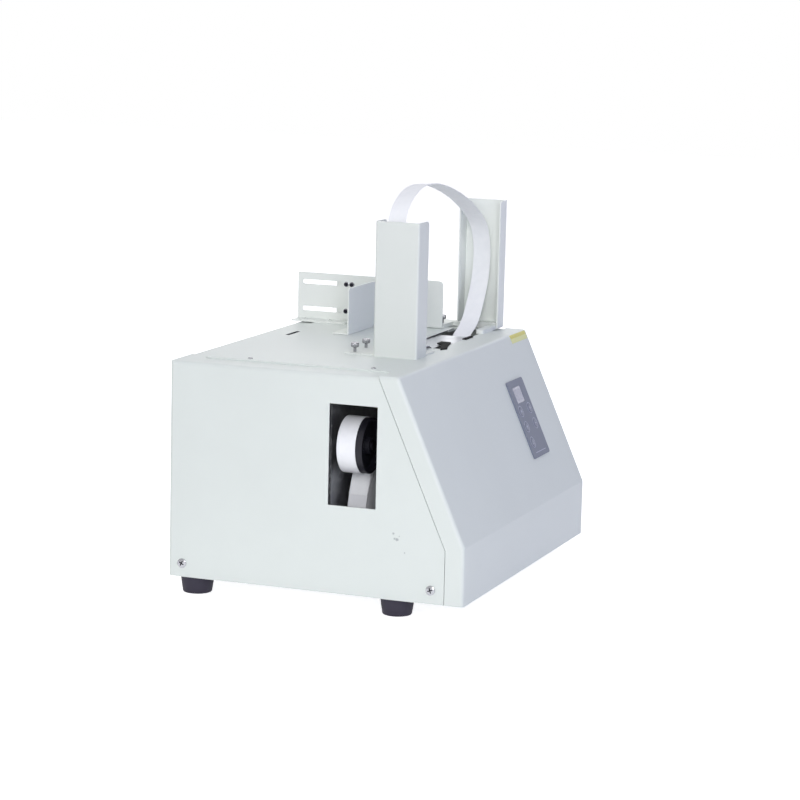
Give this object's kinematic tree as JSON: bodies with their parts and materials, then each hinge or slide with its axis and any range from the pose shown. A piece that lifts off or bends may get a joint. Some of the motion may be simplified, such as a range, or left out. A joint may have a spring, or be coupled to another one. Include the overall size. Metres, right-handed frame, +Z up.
{
  "type": "banknote strapping machine",
  "caption": "Table-top machine that straps a bundle of banknotes with a loop of paper tape arched between two posts.",
  "frame": {"origin": "centre of the bounding box, on the surface that the feet stand on", "axes": "+Z up, operator at -Y looking along +Y, +X to the operator's right"},
  "size_m": [0.404, 0.331, 0.4224],
  "materials": {
    "cover_paint": "pale grey satin powder coat",
    "post_paint": "pale grey satin powder coat",
    "plated_sheet": "zinc plated sheet",
    "foot_rubber": "matt dark grey",
    "screw_steel": "bright plated",
    "ground_steel": "ground",
    "press_alloy": "milled",
    "pinion_brass": "machined",
    "motor_can": "black enamel",
    "roller_rubber": "matt",
    "drum_plastic": "moulded, dark",
    "tape_paper": "smooth white kraft strapping paper",
    "core_board": "wound board",
    "block_plastic": "moulded, black",
    "board_green": "solder mask",
    "overlay_film": "textured film, blue grey",
    "display_window": "tinted window",
    "key_caps": "moulded",
    "fitting_black": "moulded, black",
    "rocker_black": "moulded, black"
  },
  "bodies": {
    "housing": {"left_side_cover": "cover_paint", "right_side_cover": "cover_paint", "front_table_cover": "cover_paint", "rear_panel": "cover_paint", "left_post": "post_paint", "right_post": "post_paint", "right_post_base": "post_paint", "side_guide": "post_paint", "base_tray": "plated_sheet", "mechanism_plate": "plated_sheet", "feed_bracket": "plated_sheet", "power_supply": "plated_sheet", "rubber_feet": "foot_rubber", "pan_head_screws": "screw_steel", "table_screws": "screw_steel", "guide_screws": "screw_steel", "left_head_plate": "ground_steel", "right_head_plate": "ground_steel", "anvil_rails": "ground_steel", "roller_pins": "ground_steel", "tape_chute": "ground_steel", "press_guide_block": "press_alloy", "camshaft_bushes": "pinion_brass", "cam_motor": "motor_can", "feed_motor": "motor_can", "tape_loop": "tape_paper", "supply_tape": "tape_paper", "tape_blocks": "block_plastic", "control_board": "board_green", "panel_overlay": "overlay_film", "display_window": "display_window", "mains_inlet": "fitting_black", "rocker_switch_housing": "fitting_black", "fuse_holder": "fitting_black"},
    "stop": {"stop_plate": "post_paint", "stop_clamp_plate": "post_paint", "stop_bolts": "screw_steel"},
    "anvil": {"anvil_plate": "ground_steel"},
    "cam_shaft": {"camshaft": "ground_steel", "camshaft_gear": "ground_steel"},
    "pinion": {"motor_pinion": "pinion_brass"},
    "left_clamp_bar": {"left_clamp": "ground_steel"},
    "heater_bar": {"heater_press": "press_alloy"},
    "right_clamp_bar": {"right_clamp": "ground_steel"},
    "feed_wheel": {"feed_roller": "roller_rubber"},
    "pinch_wheel": {"pinch_roller": "roller_rubber"},
    "drum": {"guide_drum": "drum_plastic"},
    "paper_roll": {"tape_roll": "tape_paper", "roll_core": "core_board", "roll_hub": "drum_plastic"},
    "rocker_cap": {"rocker": "rocker_black"},
    "knob_left_inner": {"left_hand_screw_inner": "screw_steel"},
    "knob_left_outer": {"left_hand_screw_outer": "screw_steel"},
    "knob_right_front": {"right_hand_screw_front": "screw_steel"},
    "knob_right_rear": {"right_hand_screw_rear": "screw_steel"},
    "key_cap_1": {"key_1": "key_caps"},
    "key_cap_2": {"key_2": "key_caps"},
    "key_cap_3": {"key_3": "key_caps"},
    "key_cap_4": {"key_4": "key_caps"},
    "key_cap_5": {"key_5": "key_caps"}
  },
  "joints": [
    {"name": "stop_slide", "type": "slide", "parent": "housing", "child": "stop", "axis": [0, 1, 0], "range_m": [0, 0.045]},
    {"name": "anvil_slide", "type": "slide", "parent": "housing", "child": "anvil", "axis": [0, 1, 0], "range_m": [0, 0.03]},
    {"name": "cam_turn", "type": "hinge", "parent": "housing", "child": "cam_shaft", "pos_m": [0.051, -0.0385, 0.185], "axis": [-1, 0, 0], "range_deg": [0, 90]},
    {"name": "pinion_turn", "type": "hinge", "parent": "housing", "child": "pinion", "pos_m": [0.1, -0.0085, 0.185], "axis": [-1, 0, 0], "range_deg": [-210, 0]},
    {"name": "left_clamp_rise", "type": "slide", "parent": "housing", "child": "left_clamp_bar", "axis": [0, 0, 1], "range_m": [0, 0.007]},
    {"name": "heater_rise", "type": "slide", "parent": "housing", "child": "heater_bar", "axis": [0, 0, 1], "range_m": [0, 0.007]},
    {"name": "right_clamp_rise", "type": "slide", "parent": "housing", "child": "right_clamp_bar", "axis": [0, 0, 1], "range_m": [0, 0.007]},
    {"name": "feed_spin", "type": "hinge", "parent": "housing", "child": "feed_wheel", "pos_m": [0.1075, -0.0385, 0.138], "axis": [0, -1, 0], "continuous": true},
    {"name": "pinch_spin", "type": "hinge", "parent": "housing", "child": "pinch_wheel", "pos_m": [0.1325, -0.0385, 0.138], "axis": [0, -1, 0], "continuous": true},
    {"name": "drum_spin", "type": "hinge", "parent": "housing", "child": "drum", "pos_m": [-0.166, -0.0385, 0.169], "axis": [0, -1, 0], "continuous": true},
    {"name": "roll_spin", "type": "hinge", "parent": "housing", "child": "paper_roll", "pos_m": [-0.104, -0.0385, 0.091], "axis": [0, -1, 0], "continuous": true},
    {"name": "rocker_tilt", "type": "hinge", "parent": "housing", "child": "rocker_cap", "pos_m": [0.082, 0.157, 0.062], "axis": [1, 0, 0], "range_deg": [-9, 9]},
    {"name": "key_1_press", "type": "slide", "parent": "housing", "child": "key_cap_1", "axis": [0, 0.9138, -0.4061], "range_m": [0, 0.0005], "stiffness_N_per_m": 1500, "springref_m": -0.0004},
    {"name": "key_2_press", "type": "slide", "parent": "housing", "child": "key_cap_2", "axis": [0, 0.9138, -0.4061], "range_m": [0, 0.0005], "stiffness_N_per_m": 1500, "springref_m": -0.0004},
    {"name": "key_3_press", "type": "slide", "parent": "housing", "child": "key_cap_3", "axis": [0, 0.9138, -0.4061], "range_m": [0, 0.0005], "stiffness_N_per_m": 1500, "springref_m": -0.0004},
    {"name": "key_4_press", "type": "slide", "parent": "housing", "child": "key_cap_4", "axis": [0, 0.9138, -0.4061], "range_m": [0, 0.0005], "stiffness_N_per_m": 1500, "springref_m": -0.0004},
    {"name": "key_5_press", "type": "slide", "parent": "housing", "child": "key_cap_5", "axis": [0, 0.9138, -0.4061], "range_m": [0, 0.0005], "stiffness_N_per_m": 1500, "springref_m": -0.0004},
    {"name": "left_inner_screw_turn", "type": "hinge", "parent": "housing", "child": "knob_left_inner", "pos_m": [-0.066, 0.009, 0.252], "axis": [0, 0, 1], "continuous": true},
    {"name": "left_outer_screw_turn", "type": "hinge", "parent": "housing", "child": "knob_left_outer", "pos_m": [-0.034, 0.009, 0.252], "axis": [0, 0, 1], "continuous": true},
    {"name": "right_front_screw_turn", "type": "hinge", "parent": "housing", "child": "knob_right_front", "pos_m": [0.166, -0.004, 0.252], "axis": [0, 0, 1], "continuous": true},
    {"name": "right_rear_screw_turn", "type": "hinge", "parent": "housing", "child": "knob_right_rear", "pos_m": [0.166, 0.0165, 0.252], "axis": [0, 0, 1], "continuous": true}
  ],
  "couplings": [
    {"joint": "pinion_turn", "follows": "cam_turn", "ratio": -2.3333},
    {"joint": "left_clamp_rise", "follows": "cam_turn", "m_per_rad": 0.0044563},
    {"joint": "heater_rise", "follows": "cam_turn", "m_per_rad": 0.0044563},
    {"joint": "right_clamp_rise", "follows": "cam_turn", "m_per_rad": 0.0044563},
    {"joint": "pinch_spin", "follows": "feed_spin", "ratio": -1.4},
    {"joint": "drum_spin", "follows": "feed_spin", "ratio": -0.49123},
    {"joint": "roll_spin", "follows": "feed_spin", "ratio": 0.23729}
  ]
}
